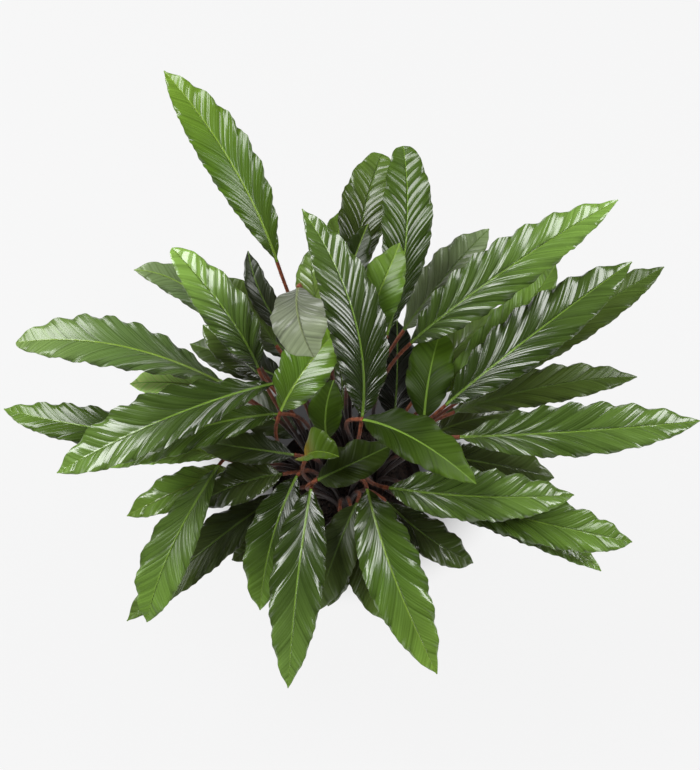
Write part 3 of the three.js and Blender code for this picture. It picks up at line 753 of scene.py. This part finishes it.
hairs = [hair_rings(row, rng) for row in LEAVES]
hair_body = np.concatenate([rings for rings, _ in hairs])
hair_up = np.concatenate([t for _, t in hairs])
hair_up = np.broadcast_to(hair_up[:, None, None], hair_body.shape[:3])
# The hairs take the stalks' painted shade towards the foot
skin("stalk_hairs", hair_body, {"up": hair_up}, material=hair_brown)
print("hairs:", len(hair_body))


# %% The shoots; the root crown below them lies wholly in the peat and can't be seen
def lathe_rings(profile, points, centre=(0, 0)):
    """Each (radius, height) of the profile becomes a circle about the upright axis."""
    profile = np.asarray(profile, dtype=float)
    turn = np.linspace(0, 2 * np.pi, points, endpoint=False)
    x = centre[0] + profile[:, :1] * np.cos(turn)
    y = centre[1] + profile[:, :1] * np.sin(turn)
    return np.stack([x, y, np.broadcast_to(profile[:, 1:], x.shape)], axis=-1)


def lumps(points, size, rng, count=40):
    """A rough field: the mean of many plane waves of about the given size in mm, with random
    directions and phases."""
    waves = rng.normal(size=(count, 3)) * 2 * np.pi / size / 1.7
    phases = rng.uniform(0, 2 * np.pi, count)
    return np.sin(points @ waves.T + phases).mean(-1) * np.sqrt(2 * count) / 1.6


# The sheath's profile in (radius, height): its sunk foot, a swelling and a long taper
sheath_profile = [
    (0.5, PEAT["middle_height"] - 4),
    (SHOOT["radius"] - 2, PEAT["middle_height"] - 4),
    (SHOOT["radius"] - 1, PEAT["middle_height"] + 1),
    (SHOOT["radius"] - 1.5, PEAT["middle_height"] + 5),
    (SHOOT["neck_radius"] + 1.5, PEAT["middle_height"] + 14),
    (SHOOT["neck_radius"], PEAT["middle_height"] + SHOOT["above"] - 1),
    (0.5, PEAT["middle_height"] + SHOOT["above"]),
]
sheaths = np.stack([lathe_rings(sheath_profile, 20, place) for place in SHOOTS.values()])
# The sheaths' up is 0, so they take the full painted shade of a stalk's foot
skin("shoot_sheaths", sheaths, {"up": np.zeros(sheaths.shape[:3])}, material=stalk_skin)

# %% [markdown]
# ## The peat
#
# Houseplants like this grow in peat. It is dark, moist and crumbly, and a finger below the
# rim. A turned surface gives its body, a rough field its hollows, and fifteen hundred loose
# crumbs its texture.

# %% The peat's material
CLOD = 0.003  # metres across the crumbs of the peat
peat_brown, shader = new_material("moist_peat")
place = add_node(peat_brown, "ShaderNodeTexCoord", out="Object")
clods = add_node(peat_brown, "ShaderNodeTexNoise", place, None, 1 / CLOD, 6.0)
blacks = [(0.35, "#0d0805"), (0.75, "#33231a")]
feed(add_node(peat_brown, "ShaderNodeValToRGB", clods, stops=blacks), shader.inputs["Base Color"])
relief = add_node(peat_brown, "ShaderNodeBump", Height=clods, Strength=0.9, Distance=2 * MM)
feed(relief, shader.inputs["Normal"])
shader.inputs["Roughness"].default_value = 0.95


# %% The peat's body and crumbs
def inner_radius(height):
    """The inside of the pot's wall: straight from the base to the shoulder, less the wall."""
    slope = (POT["rim_radius"] - RIM["step"] - POT["base_radius"]) / (POT["height"] - RIM["depth"])
    return POT["base_radius"] + slope * height - POT["wall"]


DROP = PEAT["middle_height"] - PEAT["edge_height"]
HOLLOWS = [(1.2, 14), (0.5, 5)]  # the depth and the size of the larger and the smaller ones
edge = inner_radius(PEAT["edge_height"]) - TOUCH_GAP
low = POT["floor"] + TOUCH_GAP
inward = np.linspace(1, 0.01, 46)[:, None]
top = np.hstack([edge * inward, PEAT["middle_height"] - DROP * inward**6])
foot = [[0.5, low], [inner_radius(low) - TOUCH_GAP, low], [edge - 0.2, PEAT["edge_height"] - 2]]
profile = np.vstack([foot, top])
peat_rings = lathe_rings(profile, 150)
is_top = (np.arange(len(profile)) > 3)[:, None]
peat_rings[..., 2] += is_top * sum(depth * lumps(peat_rings, size, rng) for depth, size in HOLLOWS)
skin("peat_bed", peat_rings[None], replaces=["peat"], material=peat_brown)


def crumb_rings(count, rng):
    """Small uneven lumps of three rings of six points, strewn over the peat's top."""
    radius = (edge - 3) * np.sqrt(rng.uniform(0.0, 1, count))
    turn = rng.uniform(0, 2 * np.pi, count)
    height = PEAT["middle_height"] - DROP * (radius / edge) ** 6 + rng.uniform(-0.3, 0.8, count)
    centre = np.stack([radius * np.cos(turn), radius * np.sin(turn), height], axis=-1)
    size = rng.uniform(0.8, 2.4, (count, 1, 1, 1))
    unit_lump = lathe_rings([(0.35, -0.7), (1.0, -0.1), (0.5, 0.6)], 6)
    jitter = rng.uniform(0.7, 1.3, (count, 3, 6, 1))
    return centre[:, None, None] + size * unit_lump * jitter


CRUMBS = 1500
skin("peat_crumbs", crumb_rings(CRUMBS, rng), material=peat_brown)

# %% [markdown]
# ## The nursery pot
#
# The photograph hides the pot, so it is the plain one that such a plant is sold in: thin
# dark polypropylene, blow-moulded, with a band at the rim and holes for water in its base.
# It is one closed profile turned about the axis, and the holes are cut afterwards.

# %% The pot's plastic
GRAIN, SMUDGE = 0.0011, 0.042  # metres
pot_plastic, shader = new_material("moulded_polypropylene")
place = add_node(pot_plastic, "ShaderNodeTexCoord", out="Object")
grain = add_node(pot_plastic, "ShaderNodeTexNoise", place, None, 1 / GRAIN, 2.0)
smudges = add_node(pot_plastic, "ShaderNodeTexNoise", place, None, 1 / SMUDGE, 5.0)
greys = [(0.0, "#1f1c1a"), (1.0, "#35312d")]
feed(add_node(pot_plastic, "ShaderNodeValToRGB", smudges, stops=greys), shader.inputs["Base Color"])
satin = add_node(pot_plastic, "ShaderNodeMapRange", smudges, 0.0, 1.0, 0.42, 0.62)
feed(satin, shader.inputs["Roughness"])
relief = add_node(pot_plastic, "ShaderNodeBump", Height=grain, Strength=0.25, Distance=0.3 * MM)
feed(relief, shader.inputs["Normal"])

# %% The pot's profile, turned
shoulder = POT["height"] - RIM["depth"]
# From the middle of the underside out to its standing ring, up the wall, round the rim's
# band, down the inside and back to the middle, with small steps that round the corners
pot_profile = [
    (0.5, 1.2),
    (POT["base_radius"] - 9, 1.2),
    (POT["base_radius"] - 8, 0.0),
    (POT["base_radius"] - 1.2, 0.0),
    (POT["base_radius"] - 0.2, 1.2),
    (POT["rim_radius"] - RIM["step"] - 0.2, shoulder - 1.4),
    (POT["rim_radius"] - RIM["step"] + 0.2, shoulder - 0.6),
    (POT["rim_radius"] - 1.6, shoulder + 0.4),
    (POT["rim_radius"] - 1.0, shoulder + 1.4),
    (POT["rim_radius"] - 0.1, POT["height"] - 1.0),
    (POT["rim_radius"] - 0.5, POT["height"] - 0.2),
    (POT["rim_radius"] - 1.2, POT["height"]),
    (POT["rim_radius"] - POT["wall"], POT["height"] - 0.7),
    (POT["rim_radius"] - POT["wall"] - 0.6, shoulder + 1.0),
    (inner_radius(shoulder), shoulder - 1),
    (inner_radius(POT["floor"]) - 0.5, POT["floor"] + 0.5),
    (inner_radius(POT["floor"]) - 1.5, POT["floor"]),
    (0.5, POT["floor"]),
]
pot = skin("nursery_pot", lathe_rings(pot_profile, 144)[None],
           replaces=["pot"], material=pot_plastic)

# %% Cut the drain holes
angles = np.arange(DRAIN["count"]) * 2 * np.pi / DRAIN["count"]
places = DRAIN["circle"] * np.stack([np.cos(angles), np.sin(angles)], axis=-1)
pin_profile = [(DRAIN["radius"], -3), (DRAIN["radius"], 6)]
pins = np.stack([lathe_rings(pin_profile, 24, p) for p in places])
cutter = skin("drain_cutter", pins, material=pot_plastic)
cut = pot.modifiers.new("drain_holes", "BOOLEAN")
cut.operation, cut.solver, cut.object = "DIFFERENCE", "EXACT", cutter
bpy.context.view_layer.update()
cut_pot = pot.evaluated_get(bpy.context.evaluated_depsgraph_get())
cut_mesh = bpy.data.meshes.new_from_object(cut_pot)
pot.modifiers.clear()
pot.data = cut_mesh
bpy.data.objects.remove(cutter)
print("pot faces:", len(cut_mesh.polygons))

# %% [markdown]
# ## Stage, light and camera
#
# The plant stands on a plain pale floor. Two large soft lights, above its left and its right
# side, slide over the folds of the blades, so that each fold has a bright flank. A weaker light
# in front and a pale room fill the shadows, and neither of these two shows in the wax. The
# floor glows a little by itself, so that it stays white as far as the picture goes. Under the
# plant, in a soft disc a little behind the pot, the glow fades out: this dark disc is a painted
# shadow where the plant's own shade would fall. The camera looks as the photograph does.

# %% The floor
# The floor's glow fades out within this disc: a painted shadow under the plant
PAINTED_SHADOW = dict(middle=(0.0, 0.105, 0.0), inner=0.08, outer=0.195)  # metres
GLOW = 0.87
FLOOR = dict(reach=6.0, below=0.0005)  # metres
floor_mesh = bpy.data.meshes.new("floor")
corners = [(-1, -1), (1, -1), (1, 1), (-1, 1)]
corners = [(x * FLOOR["reach"], y * FLOOR["reach"], -FLOOR["below"]) for x, y in corners]
floor_mesh.from_pydata(corners, [], [(0, 1, 2, 3)])
floor = bpy.data.objects.new("floor", floor_mesh)
bpy.context.scene.collection.objects.link(floor)
floor_paint, shader = new_material("white_studio_floor")
# A dark grey base under the glow, so that the painted shadow inside the disc is nearly black
shader.inputs["Base Color"].default_value = linear("#303031")
shader.inputs["Roughness"].default_value = 0.9
shader.inputs["Emission Color"].default_value = linear("#ffffff")
place = add_node(floor_paint, "ShaderNodeTexCoord", out="Object")
away = add_node(floor_paint, "ShaderNodeVectorMath", place, PAINTED_SHADOW["middle"],
                operation="DISTANCE", out="Value")
glow = add_node(floor_paint, "ShaderNodeMapRange", away, PAINTED_SHADOW["inner"], PAINTED_SHADOW["outer"], 0.0, GLOW,
                interpolation_type="SMOOTHSTEP")
feed(glow, shader.inputs["Emission Strength"])
floor_mesh.materials.append(floor_paint)

# %% The lights: place in metres, width, watts and whether it shows in the wax
LIGHTS = dict(
    softbox_left=((-1.4, 0.5, 1.85), 1.3, 50, True),
    softbox_right=((1.5, 0.3, 1.75), 1.1, 31, True),
    fill_in_front=((0.3, -1.9, 2.0), 1.6, 9, False),
)
AMONG_THE_LEAVES = (0, 0, 0.3)
ROOM = dict(colour="#f7f8fa", strength=0.17)
for name, (place, width, watts, glossy) in LIGHTS.items():
    data = bpy.data.lights.new(name, "AREA")
    data.shape, data.size, data.energy = "SQUARE", width, watts
    lamp = bpy.data.objects.new(name, data)
    lamp.location = place
    lamp.rotation_mode = "QUATERNION"
    lamp.rotation_quaternion = (Vector(AMONG_THE_LEAVES) - Vector(place)).to_track_quat("-Z", "Y")
    lamp.visible_glossy = glossy
    bpy.context.scene.collection.objects.link(lamp)
world = bpy.data.worlds.new("pale_room")
bpy.context.scene.world = world
world.use_nodes = True
world.node_tree.nodes["Background"].inputs["Color"].default_value = linear(ROOM["colour"])
world.node_tree.nodes["Background"].inputs["Strength"].default_value = ROOM["strength"]
world.cycles_visibility.glossy = False
bpy.context.scene.view_settings.view_transform = "Standard"

# %% The camera
camera = bpy.data.cameras.new("camera")
camera.sensor_width = 36
camera.lens = camera.sensor_width * PHOTO["distance"] / (PHOTO["height"] * PHOTO["mm_per_pixel"])
view = bpy.data.objects.new("camera", camera)
view.location = eye * MM
view.rotation_mode = "QUATERNION"
view.rotation_quaternion = Vector(forward).to_track_quat("-Z", "Y")
bpy.context.scene.collection.objects.link(view)
bpy.context.scene.camera = view
print("lens mm:", round(camera.lens, 1))
